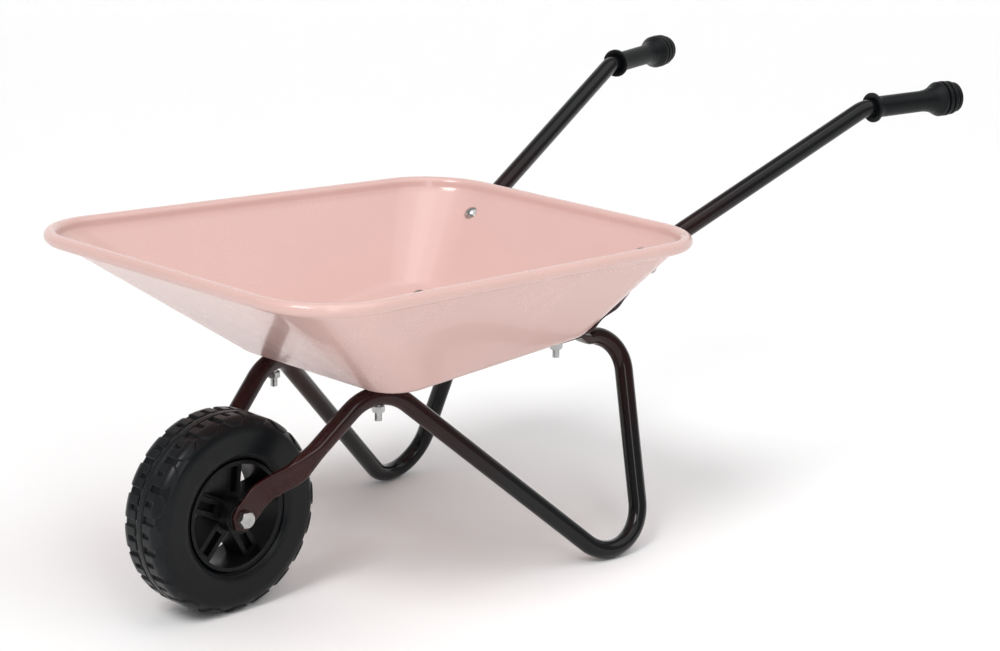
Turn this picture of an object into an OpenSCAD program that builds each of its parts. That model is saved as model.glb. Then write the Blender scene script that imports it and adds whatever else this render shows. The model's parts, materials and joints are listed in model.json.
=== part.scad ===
// Child's wheelbarrow: pressed steel tray on a bent tube frame, one wide moulded wheel.
// +X runs from the wheel to the handles, +Z is up, the barrow is symmetric about Y = 0.
// The origin is on the ground, under the middle of the whole barrow.

/* [Wheel] */
// Outside diameter of the tyre over the tread
wheel_d = 165; // [150:1:175]
// Width of the tyre
wheel_w = 50; // [46:1:52]
// Depth of the tread blocks
tread_h = 2.4; // [1.5:0.1:3]
// Tread blocks round each side of the tyre
tread_n = 20; // [16:1:24]
// Diameter of the opening in the side of the tyre
opening_d = 103; // [96:1:108]
// Spokes of the wheel centre
spoke_n = 5; // [4:1:7]
// Diameter of the axle bolt
axle_d = 8; // [8:M8]

/* [Frame] */
// Outside diameter of the frame tube
tube_d = 16; // [15:0.5:18]
// Wall of the frame tube
tube_wall = 1.2; // [1:0.1:1.6]
// Thickness of a tube end pressed flat
flat_t = 3; // [2.6:0.1:3.4]
// Width of a tube end pressed flat
flat_w = 23; // [21:0.5:25]
// Distance from the axle back to the lowest corner of the leg
foot_x = 342; // [320:1:360]
// Distance from the middle of the barrow out to the lowest corner of the leg
foot_y = 158; // [140:1:170]
// Bend radius at the foot, on the tube's centre line
foot_bend = 38; // [32:1:42]

/* [Tray] */
// Distance of the front rim ahead of the axle
rim_ahead = 57; // [40:1:70]
// Length of the rim, middle of bead to middle of bead
rim_len = 460; // [430:1:500]
// Width of the rim at the front
rim_front_w = 376; // [340:1:400]
// Width of the rim at the rear
rim_rear_w = 341; // [320:1:360]
// Height of the rim at the front
rim_front_z = 291; // [280:1:310]
// Height of the rim at the rear
rim_rear_z = 271.5; // [266:0.5:280]
// Corner radius of the rim
rim_corner = 62; // [50:1:75]
// Diameter of the rolled edge
bead_d = 11; // [9:0.5:12]
// Thickness of the sheet
sheet = 1.2; // [0.8:0.1:1.6]
// Distance from the axle back to the front edge of the floor
floor_x = 84; // [70:1:95]
// Length of the floor
floor_len = 252; // [240:1:265]
// Width of the floor at the front
floor_front_w = 230; // [210:1:250]
// Width of the floor at the rear
floor_rear_w = 252; // [240:1:270]
// Height of the underside of the floor at the front
floor_front_z = 177.5; // [170:0.5:184]
// Height of the underside of the floor at the rear
floor_rear_z = 194.5; // [190:0.5:200]
// Corner radius of the floor
floor_corner = 44; // [38:1:54]
// Radius between the floor and the walls
fillet = 20; // [16:1:26]

/* [Handles] */
// Distance from the axle back to the bend at the grip
grip_x = 619.5; // [580:0.5:660]
// Height of the bend at the grip
grip_z = 356.6; // [340:0.2:380]
// Outward run of a handle for each unit of length
splay = 0.2206; // [0.15:0.0002:0.26]
// Length of a grip
grip_len = 103; // [96:1:120]
// Diameter of a grip along its hand part
grip_d = 19.2; // [18.6:0.1:22]
// Diameter of the knob at the end of a grip
knob_d = 32; // [28:0.5:36]

/* [Fasteners] */
// Thread diameter of the tray bolts
bolt_d = 6; // [6:M6]
// Clearance of a bolt in its hole, across the diameter
bolt_clear = 0.4; // [0.2:0.1:0.6]
// Distance from the middle of the barrow to a front floor bolt
front_bolt_y = 66.5; // [60:0.5:72]
// Distance of a rear floor bolt ahead of the floor's rear edge
rear_bolt_back = 37.5; // [34:0.5:42]
// Distance from the middle of the barrow to a rear floor bolt
rear_bolt_y = 86; // [80:0.5:92]

/* [Hidden] */
$fn = 48;
touch = 0.02;
hull_fn = 32;
// Neighbouring lengths of tube run into each other by this much, with this step in radius
join = 0.8;
step_r = 0.03;

// Wheel
wheel_r = wheel_d / 2;
axle_z = wheel_r;
hub_half = 26;
bush_flange_t = 1.2;
side_play = 0.4;
blade_in = hub_half + bush_flange_t + side_play;
blade_mid = blade_in + flat_t / 2;
sleeve_d = axle_d + 4;
sleeve_bore = axle_d + 0.4;
bush_fit = 0.2;
bush_d = sleeve_d + 5;
hub_d = bush_d + 11;
tyre_wall = 3;
rib_w = 7;
// Length of a tread block's tapered end, and how far one side's blocks are set round
block_side = 5.6;
stagger = 0.25;
seam_at = 0.625;
rim_seat_r = opening_d / 2 - 5;
shoulder_r = 11;

// Tube ends
tube_r = tube_d / 2;
bore_r = tube_r - tube_wall;
bolt_hole = bolt_d + bolt_clear;

// Tray outline
rim_x0 = -rim_ahead;
rim_x1 = rim_x0 + rim_len;
bead_r = bead_d / 2;
lip_in = 5;
rim_gap = 0.25;
tray_fn = 48;
floor_x1 = floor_x + floor_len;
rim_tilt = atan2(rim_rear_z - rim_front_z, rim_len);
floor_tilt = atan2(floor_rear_z - floor_front_z, floor_len);
function floor_z(x) = floor_front_z + (x - floor_x) * tan(floor_tilt);
rim_span = rim_len / cos(rim_tilt);
rim_drop = sqrt(pow(bead_r + rim_gap, 2) - lip_in * lip_in);
rim_band = 1;
floor_span = floor_len / cos(floor_tilt);
// Points in the barrow's middle plane, from a distance along the rim or the floor and a height
// square to it
function along(x0, z0, tilt, x, z) = [x0 + x * cos(tilt) - z * sin(tilt),
    z0 + x * sin(tilt) + z * cos(tilt)];
wall_top = along(rim_x0, rim_front_z, rim_tilt, rim_span - lip_in, -rim_drop - rim_band);
corner_middle = along(floor_x, floor_front_z, floor_tilt, floor_span - fillet, fillet);
to_top = wall_top - corner_middle;
wall_tilt = atan2(to_top[1], to_top[0]) + asin(fillet / norm(to_top));
wall_dir = [cos(wall_tilt), sin(wall_tilt)];
wall_out = [wall_dir[1], -wall_dir[0]];
wall_foot = corner_middle + wall_out * fillet;
wall_t = sheet * 1.2;
// Corners of the rim, in its own plane
rim_corners = [[0, -rim_front_w / 2, 0], [0, rim_front_w / 2, 0], [rim_span, rim_rear_w / 2, 0],
    [rim_span, -rim_rear_w / 2, 0]];

// Small vector tools
function unit(v) = v / norm(v);
function mix(a, b, t) = a + (b - a) * t;
// Unit vector square to d, lying as near to v as it can
function square_to(d, v) = unit(v - d * (v * d));

// Front bend: the arm rises in one plane from the axle, the tube lies under the tray floor
front_x = 112;
front_bend = 38;
arm_out = 0.162;
seat_gap = 0.15;
floor_up = [-sin(floor_tilt), 0, cos(floor_tilt)];
foot_z = -35;
function arm_root(z) = [0, front_bolt_y - norm([front_x, z - axle_z]) * arm_out, axle_z];
// The front corner is placed so that the top of its bend lies just under the tray floor
function above_floor(z) = bend_reach(arm_root(z), [front_x, front_bolt_y, z],
    [foot_x, foot_y, foot_z], front_bend, floor_up) + tube_r - [floor_x, 0, floor_front_z] * floor_up;
function front_corner_at(n, z) = n == 0
    ? [front_x, front_bolt_y, z]
    : front_corner_at(n - 1, z - above_floor(z) - seat_gap);
front_corner = front_corner_at(8, floor_front_z);
arm_len = norm([front_x, front_corner[2] - axle_z]);
arm_tilt = atan2(front_corner[2] - axle_z, front_x);
joggle_from = 26;
joggle_to = 52;
round_from = 80;
function arm_y(s) = front_bolt_y - (arm_len - s) * arm_out;
function arm_point(s) = [s * cos(arm_tilt), arm_y(s), axle_z + s * sin(arm_tilt)];

// Rear end of the leg tube: pressed flat under the flat end of the handle tube
rear_bolt_x = floor_x1 - rear_bolt_back;
top_bend = 32;
press_len = 20;
top_corner = [floor_x1 + 37, rear_bolt_y + 4.5, floor_rear_z - 9.5];
handle_flat_z = floor_z(rear_bolt_x) - (flat_t / 2 + seat_gap) / cos(floor_tilt);
leg_flat_z = handle_flat_z - (flat_t + seat_gap) / cos(floor_tilt);
leg_end_dir = unit([top_corner[0] - rear_bolt_x, top_corner[1] - rear_bolt_y, 0]);
leg_end_in = top_corner - [leg_end_dir[0], leg_end_dir[1], tan(floor_tilt)] * 60;

// The foot corner is placed so that the lowest point of its bend stands on the ground
function bend_open(a, v, b) = acos(unit(a - v) * unit(b - v));
function bend_middle(a, v, b, r) =
    v + unit(unit(a - v) + unit(b - v)) * r / sin(bend_open(a, v, b) / 2);
function bend_normal(a, v, b) = unit(cross(a - v, b - v));
// Furthest reach of a bend's centre line in the direction up
function bend_reach(a, v, b, r, up) =
    bend_middle(a, v, b, r) * up + r * sqrt(1 - pow(bend_normal(a, v, b) * up, 2));
function foot_corner(n, z) = n == 0
    ? [foot_x, foot_y, z]
    : foot_corner(n - 1, z + bend_reach(front_corner, [foot_x, foot_y, z], top_corner, foot_bend,
        [0, 0, -1]) + tube_r);
foot = foot_corner(8, foot_z);

// Handle tube, in an upright plane that runs outwards towards the grip
splay_angle = atan(splay);
function handle_y(x) = rear_bolt_y + (x - rear_bolt_x) * splay;
function handle_point(p) = [p[0], handle_y(p[0]), p[1]];
handle_bend = 25;
grip_bend = 35;
grip_pitch = 0.7;
wall_axis = wall_foot + wall_out * (tube_r + seat_gap);
grip_corner = [grip_x, grip_z];
// The straight run passes just under the rolled rim on its way up to the grip
to_rim = [rim_x1, rim_rear_z] - grip_corner;
run_angle = atan2(-to_rim[1], -to_rim[0]) + asin((bead_r + tube_r + rim_gap) / norm(to_rim));
run_dir = [cos(run_angle), sin(run_angle)];
upper = grip_corner - run_dir * (cross(grip_corner - wall_axis, wall_dir) / cross(run_dir, wall_dir));
tube_in_grip = grip_len - 24;
grip_start = 9;
grip_fit = 0.1;
handle_end = grip_corner + [cos(grip_pitch), sin(grip_pitch) / cos(splay_angle)]
    * (grip_start + tube_in_grip) * cos(splay_angle);
round_start = wall_axis + wall_dir * 24;
flat_stop = wall_foot + wall_dir * 6 + wall_out * (flat_t / 2 + seat_gap);
wall_bolt_back = 9;
wall_bolt = upper - wall_dir * wall_bolt_back;

// Fasteners
nut_af = 10;
nut_h = 5;
head_d = 13;
head_h = 3.4;
seat_depth = 0.2;
seat_room = 1;
axle_head_af = 13;
axle_head_h = 5.3;
washer_t = 1.6;
washer_d = 12;
shank_past = 7.5;
// How much a level head, nut or washer of radius r stands off the sloping floor at its edge
function slope_rise(r) = r * tan(floor_tilt);
front_seat = floor_z(front_x) + sheet + slope_rise(head_d / 2) + seat_gap;
rear_seat = floor_z(rear_bolt_x) + sheet + slope_rise(head_d / 2) + seat_gap;
front_nut_top = floor_z(front_x) - tube_d - 1.1;
rear_washer_top = leg_flat_z - flat_t / 2 - slope_rise(washer_d / 2) - 0.1;
rear_nut_top = rear_washer_top - washer_t - touch;

// Middle of the whole barrow along X
knob_tip = handle_point(grip_corner) + grip_axis() * (grip_start + grip_len);
function grip_axis() = unit([cos(splay_angle), sin(splay_angle), tan(grip_pitch)]);
knob_reach = knob_tip[0] + knob_d * 0.5 * sin(splay_angle) * 0.55;
mid_x = (knob_reach - wheel_r) / 2;

// Puts children in a frame with origin o, first axis x and third axis z
module at_frame(o, x, z) {
    y = cross(z, x);
    multmatrix([[x[0], y[0], z[0], o[0]], [x[1], y[1], z[1], o[1]], [x[2], y[2], z[2], o[2]],
        [0, 0, 0, 1]])
        children();
}

// Round bar from a to b
module bar(a, b, r) {
    d = unit(b - a);
    side = square_to(d, abs(d[2]) < 0.9 ? [0, 0, 1] : [1, 0, 0]);
    at_frame(a, side, d)
        cylinder(r = r, h = norm(b - a));
}

// Bend at corner v between the runs to a and b
module bend(a, v, b, bend_r, r) {
    middle = bend_middle(a, v, b, bend_r);
    open = bend_open(a, v, b);
    start = v + unit(a - v) * bend_r / tan(open / 2);
    first = unit(start - middle);
    at_frame(middle, first, unit(cross(a - v, b - v)) * -1)
        rotate_extrude(angle = 180 - open)
            translate([bend_r, 0])
                circle(r = r);
}

// Round bar through the corners, with the bend radius of each inner corner
module bent_bar(corners, bends, r) {
    last = len(corners) - 1;
    cut = [for (i = [0 : last]) i == 0 || i == last ? 0
        : bends[i - 1] / tan(bend_open(corners[i - 1], corners[i], corners[i + 1]) / 2)];
    union() {
        for (i = [0 : last - 1]) {
            d = unit(corners[i + 1] - corners[i]);
            bar(corners[i] + d * (cut[i] - (i == 0 ? 0 : join)),
                corners[i + 1] - d * (cut[i + 1] - (i == last - 1 ? 0 : join)), r);
        }
        for (i = [1 : last - 1])
            bend(corners[i - 1], corners[i], corners[i + 1], bends[i - 1], r - step_r);
    }
}

// Outline of a strip of thickness t along a line of points
function turn_at(p, i) = let(last = len(p) - 1,
    a = unit(p[min(i + 1, last)] - p[min(i, last - 1)]),
    b = unit(p[max(i, 1)] - p[max(i - 1, 0)]), m = unit(a + b))
    [-m[1], m[0]] / (m * a);
function strip_outline(p, t) = concat([for (i = [0 : len(p) - 1]) p[i] + turn_at(p, i) * t / 2],
    [for (i = [len(p) - 1 : -1 : 0]) p[i] - turn_at(p, i) * t / 2]);

// Solid form of the tray; in is how far it lies inside the outer faces, up is extra height.
// It ends just under the rolled rim.
module tray_form(in, up) {
    rim_in = lip_in + in * 1.4;
    ring_r = floor_corner - in;
    edge_r = fillet - in;
    hull() {
        on_rim()
            for (i = [0 : 3])
                translate(bend_middle(rim_corners[(i + 3) % 4], rim_corners[i],
                    rim_corners[(i + 1) % 4], rim_corner) - [0, 0, rim_drop + rim_band])
                    cylinder(r = rim_corner - rim_in, h = rim_band + up, $fn = tray_fn);
        translate([floor_x, 0, floor_front_z])
            rotate([0, -floor_tilt, 0])
                for (side = [-1, 1], end = [0, 1])
                    translate([end == 0 ? floor_corner : floor_span - floor_corner,
                        side * ((end == 0 ? floor_front_w : floor_rear_w) / 2 - floor_corner), in])
                        rotate_extrude($fn = tray_fn)
                            translate([ring_r - edge_r, edge_r])
                                intersection() {
                                    circle(r = edge_r, $fn = 32);
                                    translate([0, -edge_r])
                                        square(2 * edge_r);
                                }
    }
}

// Frame of the rim's own plane
module on_rim() {
    translate([rim_x0, 0, rim_front_z])
        rotate([0, -rim_tilt, 0])
            children();
}

// Round bar of radius r along the rim
module rim_bar(r) {
    cut = [for (i = [0 : 3]) rim_corner
        / tan(bend_open(rim_corners[(i + 3) % 4], rim_corners[i], rim_corners[(i + 1) % 4]) / 2)];
    on_rim()
        for (i = [0 : 3]) {
            before = rim_corners[(i + 3) % 4];
            after = rim_corners[(i + 1) % 4];
            d = unit(after - rim_corners[i]);
            bar(rim_corners[i] + d * (cut[i] - join), after - d * (cut[(i + 1) % 4] - join), r);
            bend(before, rim_corners[i], after, rim_corner, r - step_r);
        }
}

// Bolt holes through the tray: two in front, two behind, two in the rear wall
module tray_holes() {
    for (side = [-1, 1]) {
        translate([front_x, side * front_bolt_y, floor_z(front_x) - 5])
            cylinder(d = bolt_hole, h = 15);
        translate([rear_bolt_x, side * rear_bolt_y, floor_z(rear_bolt_x) - 5])
            cylinder(d = bolt_hole, h = 15);
        on_wall_bolt(side)
            translate([0, 0, tube_r - 4])
                cylinder(d = bolt_hole, h = 10);
    }
}

// Shallow round seats in the floor under the bolt heads, square to the floor
module bolt_seats() {
    for (at = [[front_x, front_bolt_y], [rear_bolt_x, rear_bolt_y]], side = [-1, 1])
        translate([at[0], side * at[1], floor_z(at[0]) + sheet / cos(floor_tilt)])
            rotate([0, -floor_tilt, 0])
                translate([0, 0, -seat_depth])
                    cylinder(d = head_d + seat_room, h = 1);
}

module tray() {
    color("#d9b6ae")
        difference() {
            tray_form(0, 0);
            tray_form(sheet, 4);
            tray_holes();
            bolt_seats();
        }
}

// Rolled edge of the tray, a ring of tube all round the top
module rolled_rim() {
    color("#e6c8c0")
        difference() {
            rim_bar(bead_r);
            rim_bar(bead_r - sheet);
        }
}

// Frame of a rear wall bolt: origin on the tube's centre line, third axis into the tray
module on_wall_bolt(side) {
    mirror([0, side < 0 ? 1 : 0, 0])
        at_frame(handle_point(wall_bolt), [wall_dir[0], 0, wall_dir[1]] * -1,
            [-wall_out[0], 0, -wall_out[1]])
            children();
}

// Frame of the fork blade: first axis along the arm, second axis up square to it,
// third axis outwards
module on_blade() {
    at_frame([0, 0, axle_z], [cos(arm_tilt), 0, sin(arm_tilt)], [0, 1, 0])
        children();
}

// Leg tube on the right-hand side, from the axle to the rear of the tray floor
module leg_tube() {
    round_in = arm_point(round_from);
    arm_dir = unit(front_corner - round_in);
    blade_line = [[0, blade_mid], [joggle_from, blade_mid], [joggle_to, arm_y(joggle_to)],
        [joggle_to + 5, arm_y(joggle_to + 5)]];
    tail = top_bend / tan(bend_open(foot, top_corner, leg_end_in) / 2) + 1;
    back = unit(leg_end_in - top_corner);
    bend_stop = top_corner + back * tail;
    flat_to = norm([bend_stop[0] - rear_bolt_x, bend_stop[1] - rear_bolt_y]) - press_len;
    difference() {
        union() {
            // Blade at the axle, its step out past the tyre, and its run into the round tube
            on_blade()
                translate([0, 0, blade_in - step_r])
                    cylinder(d = flat_w, h = flat_t + 2 * step_r);
            blade_strip(blade_line, flat_w - 0.6, flat_t);
            hull() {
                blade_strip([for (s = [1, 3]) [joggle_to + s, arm_y(joggle_to + s)]], flat_w - 0.9,
                    flat_t - 0.2);
                bar(round_in, round_in + arm_dir, tube_r - 0.05, $fn = hull_fn);
            }
            bent_bar([round_in, front_corner, foot, top_corner, bend_stop],
                [front_bend, foot_bend, top_bend], tube_r);
            // Flat end under the tray floor
            hull() {
                flat_end(leg_flat_z, leg_end_dir, flat_to - 3, flat_to - 1, flat_w - 0.3, flat_t - 0.2);
                bar(bend_stop - back, bend_stop, tube_r - 0.05, $fn = hull_fn);
            }
            flat_end(leg_flat_z, leg_end_dir, 0, flat_to, flat_w - 0.6, flat_t);
            flat_tip(leg_flat_z);
        }
        bent_bar([round_in + arm_dir * 0.5, front_corner, foot, top_corner, bend_stop - back * 0.5],
            [front_bend, foot_bend, top_bend], bore_r);
        // Holes for the axle bolt, the front floor bolt and the rear floor bolt
        translate([0, blade_in - 5, axle_z])
            rotate([-90, 0, 0])
                cylinder(d = axle_d + bolt_clear, h = flat_t + 10);
        translate([front_x, front_bolt_y, floor_z(front_x) - tube_d - 5])
            cylinder(d = bolt_hole, h = tube_d + 10);
        translate([rear_bolt_x, rear_bolt_y, leg_flat_z - 10])
            cylinder(d = bolt_hole, h = 20);
    }
}

// Strip of sheet standing on the fork blade's line
module blade_strip(line, w, t) {
    on_blade()
        rotate([90, 0, 0])
            linear_extrude(height = w, center = true)
                polygon(strip_outline(line, t));
}

// Flat stretch of a tube end under the floor, at height z at the bolt, running along dir
module flat_end(z, dir, from, to, w, t) {
    translate([rear_bolt_x, rear_bolt_y, z])
        rotate([0, 0, atan2(dir[1], dir[0])])
            rotate([0, -floor_tilt, 0])
                translate([from, -w / 2, -t / 2])
                    cube([to - from, w, t]);
}

// Round tip of a flat tube end, about the rear floor bolt
module flat_tip(z) {
    translate([rear_bolt_x, rear_bolt_y, z])
        rotate([0, -floor_tilt, 0])
            translate([0, 0, -flat_t / 2 + step_r / 2])
                cylinder(d = flat_w, h = flat_t - step_r);
}

// Handle tube on the right-hand side, from under the tray floor to inside the grip.
// Its front end is pressed flat as far as the start of the tray's rear wall.
module handle_tube() {
    corners = [handle_point(round_start), handle_point(upper), handle_point(grip_corner),
        handle_point(handle_end)];
    bore_corners = [handle_point(round_start + wall_dir * 0.5), corners[1], corners[2],
        handle_point(handle_end + [1, 0])];
    turn = wall_tilt - floor_tilt;
    hug = fillet + seat_gap + flat_t / 2;
    strip_line = concat([[rear_bolt_x, handle_flat_z]],
        [for (i = [0 : 6]) let(a = floor_tilt + turn * i / 6)
            corner_middle + [sin(a), -cos(a)] * hug / cos(i > 0 && i < 6 ? turn / 12 : 0)],
        [flat_stop]);
    difference() {
        union() {
            flat_tip(handle_flat_z);
            handle_strip(strip_line, flat_w - 0.6, flat_t);
            hull() {
                handle_strip([flat_stop - wall_dir * 3, flat_stop - wall_dir], flat_w - 0.9,
                    flat_t - 0.2);
                bar(corners[0], handle_point(round_start + wall_dir), tube_r - 0.05, $fn = hull_fn);
            }
            bent_bar(corners, [handle_bend, grip_bend], tube_r);
        }
        bent_bar(bore_corners, [handle_bend, grip_bend], bore_r);
        translate([rear_bolt_x, rear_bolt_y, handle_flat_z - 10])
            cylinder(d = bolt_hole, h = 20);
        on_wall_bolt(1)
            translate([0, 0, -tube_r - 5])
                cylinder(d = bolt_hole, h = tube_d + 10);
    }
}

// Strip of sheet that follows the tray from side to side, cut to the handle tube's direction
module handle_strip(line, w, t) {
    intersection() {
        translate([0, rear_bolt_y, 0])
            rotate([90, 0, 0])
                linear_extrude(height = 4 * w, center = true)
                    polygon(strip_outline(line, t));
        translate([rear_bolt_x, rear_bolt_y, handle_flat_z - 2 * w])
            rotate([0, 0, splay_angle])
                translate([0, -w / 2, 0])
                    cube([6 * w, w, 6 * w]);
    }
}

module grip() {
    axis = grip_axis();
    at_frame(handle_point(grip_corner) + axis * grip_start, [-sin(splay_angle), cos(splay_angle), 0],
        axis)
        difference() {
            rotate_extrude()
                polygon(grip_outline());
            translate([0, 0, -1])
                cylinder(d = tube_d + 2 * grip_fit, h = tube_in_grip + 1.2);
        }
}

// Half section of a grip: flange, hand part, flared neck and a knob of four discs
function grip_outline() = let(r = grip_d / 2, k = knob_d / 2, l = grip_len)
    [[0, 0], [r + 3.4, 0], [r + 3.9, 1], [r + 3.9, 2.6], [r + 2.6, 4.4], [r + 0.6, 6.5], [r, 9],
    [r, l - 44], [mix(r, k, 0.12), l - 38], [mix(r, k, 0.38), l - 32], [mix(r, k, 0.75), l - 27.5],
    [k - 0.2, l - 24.4], [k - 0.2, l - 21.4], [k - 3, l - 21.1], [k - 3, l - 19],
    [k, l - 18.8], [k, l - 14.6], [k - 3, l - 14.3], [k - 3, l - 12.4],
    [k - 0.5, l - 12.2], [k - 0.5, l - 7.9], [k - 3.6, l - 7.6], [k - 3.6, l - 5.5],
    [k - 2.2, l - 5.3], [k - 2.2, l - 2], [k - 4.5, l - 0.8], [k - 8, l], [0, l]];

// Half section of the tyre from one side to the other, as radius and width, with a rib in the middle
function arc(cx, cy, r, a0, a1, n) = [for (i = [0 : n]) let(a = mix(a0, a1, i / n))
    [cx + r * cos(a), cy + r * sin(a)]];
function tyre_outline(top) = let(w = wheel_w / 2, c = top - shoulder_r, o = opening_d / 2)
    concat([[rim_seat_r, w - 7], [o, w - 6], [o, w - 1.5], [o + 1.5, w]],
    arc(c, w - shoulder_r, shoulder_r, 90, 0, 6),
    [[top, rib_w / 2], [wheel_r, rib_w / 2 - 0.3], [wheel_r, 0.3 - rib_w / 2], [top, -rib_w / 2]],
    arc(c, shoulder_r - w, shoulder_r, 0, -90, 6),
    [[o + 1.5, -w], [o, 1.5 - w], [o, 6 - w], [rim_seat_r, 7 - w]]);

// Places children round the axle, turned from +X towards +Z
module round_axle(a) {
    translate([0, 0, axle_z])
        rotate([0, -a, 0])
            children();
}

module tyre() {
    base_r = wheel_r - tread_h;
    step = 360 / tread_n;
    block_l = 2 * PI * wheel_r / tread_n * 0.62;
    hollow_in = opening_d / 2 + tyre_wall;
    hollow_out = base_r - 10;
    hollow_w = wheel_w / 2 - tyre_wall;
    color("#24292b")
        difference() {
            union() {
                round_axle(seam_at * step)
                    rotate([-90, 0, 0])
                        rotate_extrude($fn = 96)
                            polygon(tyre_outline(base_r));
                // Tread blocks, those of one side set part of a step round from the other
                for (side = [-1, 1], i = [0 : tread_n - 1])
                    round_axle((i + (side + 1) / 2 * stagger) * step)
                        tread_block(side, block_l, base_r);
            }
            translate([0, 0, axle_z])
                rotate([-90, 0, 0])
                    rotate_extrude()
                        polygon([[hollow_in, -hollow_w], [hollow_out, -hollow_w],
                            [hollow_out, hollow_w], [hollow_in, hollow_w]]);
        }
}

// One tread block standing on the tyre beside the middle rib
module tread_block(side, l, base_r) {
    inner = rib_w / 2 + 1.5;
    outer = wheel_w / 2 - 4;
    taper = l * 0.28;
    mirror([0, side < 0 ? 1 : 0, 0])
        translate([base_r - shoulder_r * 0.6, 0, 0])
            rotate([0, 90, 0])
                linear_extrude(height = tread_h + shoulder_r * 0.6 - 0.8)
                    polygon([[-l / 2, inner], [l / 2, inner], [l / 2, outer - block_side],
                        [l / 2 - taper, outer], [-l / 2 + taper, outer], [-l / 2, outer - block_side]]);
}

// Moulded wheel centre: barrel, spokes with a slot each, and hub
module wheel_centre() {
    barrel_r = rim_seat_r - 0.3;
    barrel_in = barrel_r - 3;
    web = 26;
    spoke_w = 15;
    color("#1b1f21")
        difference() {
            union() {
                translate([0, 0, axle_z])
                    rotate([-90, 0, 0])
                        difference() {
                            translate([0, 0, -(wheel_w / 2 - 4)])
                                cylinder(r = barrel_r, h = wheel_w - 8, $fn = 96);
                            translate([0, 0, -wheel_w])
                                cylinder(r = barrel_in, h = wheel_w * 2, $fn = 96);
                        }
                translate([0, -hub_half, axle_z])
                    rotate([-90, 0, 0])
                        cylinder(d = hub_d, h = 2 * hub_half);
                for (i = [0 : spoke_n - 1])
                    round_axle(83 + i * 360 / spoke_n)
                        spoke(barrel_in + 1, spoke_w, web);
            }
            translate([0, -wheel_w, axle_z])
                rotate([-90, 0, 0])
                    cylinder(d = bush_d + 0.05, h = 2 * wheel_w);
        }
}

// One spoke: a box beam with a slot sunk into each side
module spoke(reach, w, deep) {
    from = hub_d / 2 - 1.5;
    difference() {
        translate([from, -deep / 2, -w / 2])
            cube([reach - from, deep, w]);
        for (side = [-1, 1])
            translate([hub_d / 2 + 4, side * deep / 2, 0])
                translate([0, -6, -w / 2 + 4])
                    cube([reach - hub_d / 2 - 9, 12, w - 8]);
    }
}

// Flanged bush pressed into the hub, its flange running against the fork blade
module hub_bush() {
    color("#33383a")
        translate([0, 0, axle_z])
            rotate([-90, 0, 0])
                difference() {
                    union() {
                        translate([0, 0, hub_half - 14])
                            cylinder(d = bush_d, h = 14);
                        translate([0, 0, hub_half])
                            cylinder(d = bush_d + 6, h = bush_flange_t);
                    }
                    cylinder(d = sleeve_d + bush_fit, h = wheel_w);
                }
}

module axle_sleeve() {
    color("#b9bcbe")
        translate([0, -blade_in + step_r + touch, axle_z])
            rotate([-90, 0, 0])
                difference() {
                    cylinder(d = sleeve_d, h = 2 * (blade_in - step_r - touch));
                    translate([0, 0, -1])
                        cylinder(d = sleeve_bore, h = 2 * blade_in + 2);
                }
}

// Hexagon standing on z = 0
module hexagon(af, h) {
    cylinder(d = af / cos(30), h = h, $fn = 6);
}

// Hexagon with its corners turned off at the top
module bolt_head(af, h) {
    intersection() {
        hexagon(af, h);
        union() {
            cylinder(d = af * 1.3, h = h * 0.75);
            translate([0, 0, h * 0.75])
                cylinder(d1 = af * 1.16, d2 = af * 0.98, h = h * 0.25);
        }
    }
}

module axle_bolt() {
    head_y = -(blade_in + flat_t + step_r) - touch;
    color("#d5d7d8")
        translate([0, head_y, axle_z])
            rotate([90, 0, 0]) {
                bolt_head(axle_head_af, axle_head_h);
                translate([0, 0, -(2 * (blade_in + flat_t) + washer_t + 8.5 + 3)])
                    cylinder(d = axle_d, h = 2 * (blade_in + flat_t) + washer_t + 8.5 + 3.1);
            }
}

module axle_washer() {
    color("#c9cccd")
        translate([0, blade_in + flat_t + step_r + touch, axle_z])
            rotate([-90, 0, 0])
                difference() {
                    cylinder(d = 16, h = washer_t);
                    translate([0, 0, -1])
                        cylinder(d = axle_d + 0.4, h = washer_t + 2);
                }
}

module axle_nut() {
    color("#d5d7d8")
        translate([0, blade_in + flat_t + step_r + washer_t + 2 * touch, axle_z])
            rotate([-90, 0, 0])
                difference() {
                    union() {
                        bolt_head(axle_head_af, 6.5);
                        translate([0, 0, 6.4])
                            cylinder(d = axle_head_af * 0.86, h = 1.8);
                    }
                    translate([0, 0, -1])
                        cylinder(d = axle_d + 0.04, h = 12);
                }
}

// Bolt with a low domed head, its seat at z = 0 and its shank below
module domed_bolt(shank) {
    dome_r = (head_d * head_d / 4 + head_h * head_h) / (2 * head_h);
    color("#d5d7d8") {
        intersection() {
            translate([0, 0, head_h - dome_r])
                sphere(r = dome_r);
            cylinder(d = head_d, h = head_h);
        }
        translate([0, 0, -shank])
            cylinder(d = bolt_d, h = shank + 0.5);
    }
}

// Nut hanging from z = 0, its hole a close fit on the thread
module plain_nut(af, h, hole) {
    color("#d5d7d8")
        mirror([0, 0, 1])
            difference() {
                bolt_head(af, h);
                translate([0, 0, -1])
                    cylinder(d = hole, h = h + 2);
            }
}

module front_floor_bolts() {
    for (side = [-1, 1])
        translate([front_x, side * front_bolt_y, front_seat])
            domed_bolt(front_seat - front_nut_top + nut_h + shank_past);
}

module front_floor_nuts() {
    for (side = [-1, 1])
        translate([front_x, side * front_bolt_y, front_nut_top])
            plain_nut(nut_af, nut_h, bolt_d + 0.04);
}

module rear_floor_bolts() {
    for (side = [-1, 1])
        translate([rear_bolt_x, side * rear_bolt_y, rear_seat])
            domed_bolt(rear_seat - rear_nut_top + nut_h + shank_past);
}

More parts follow.
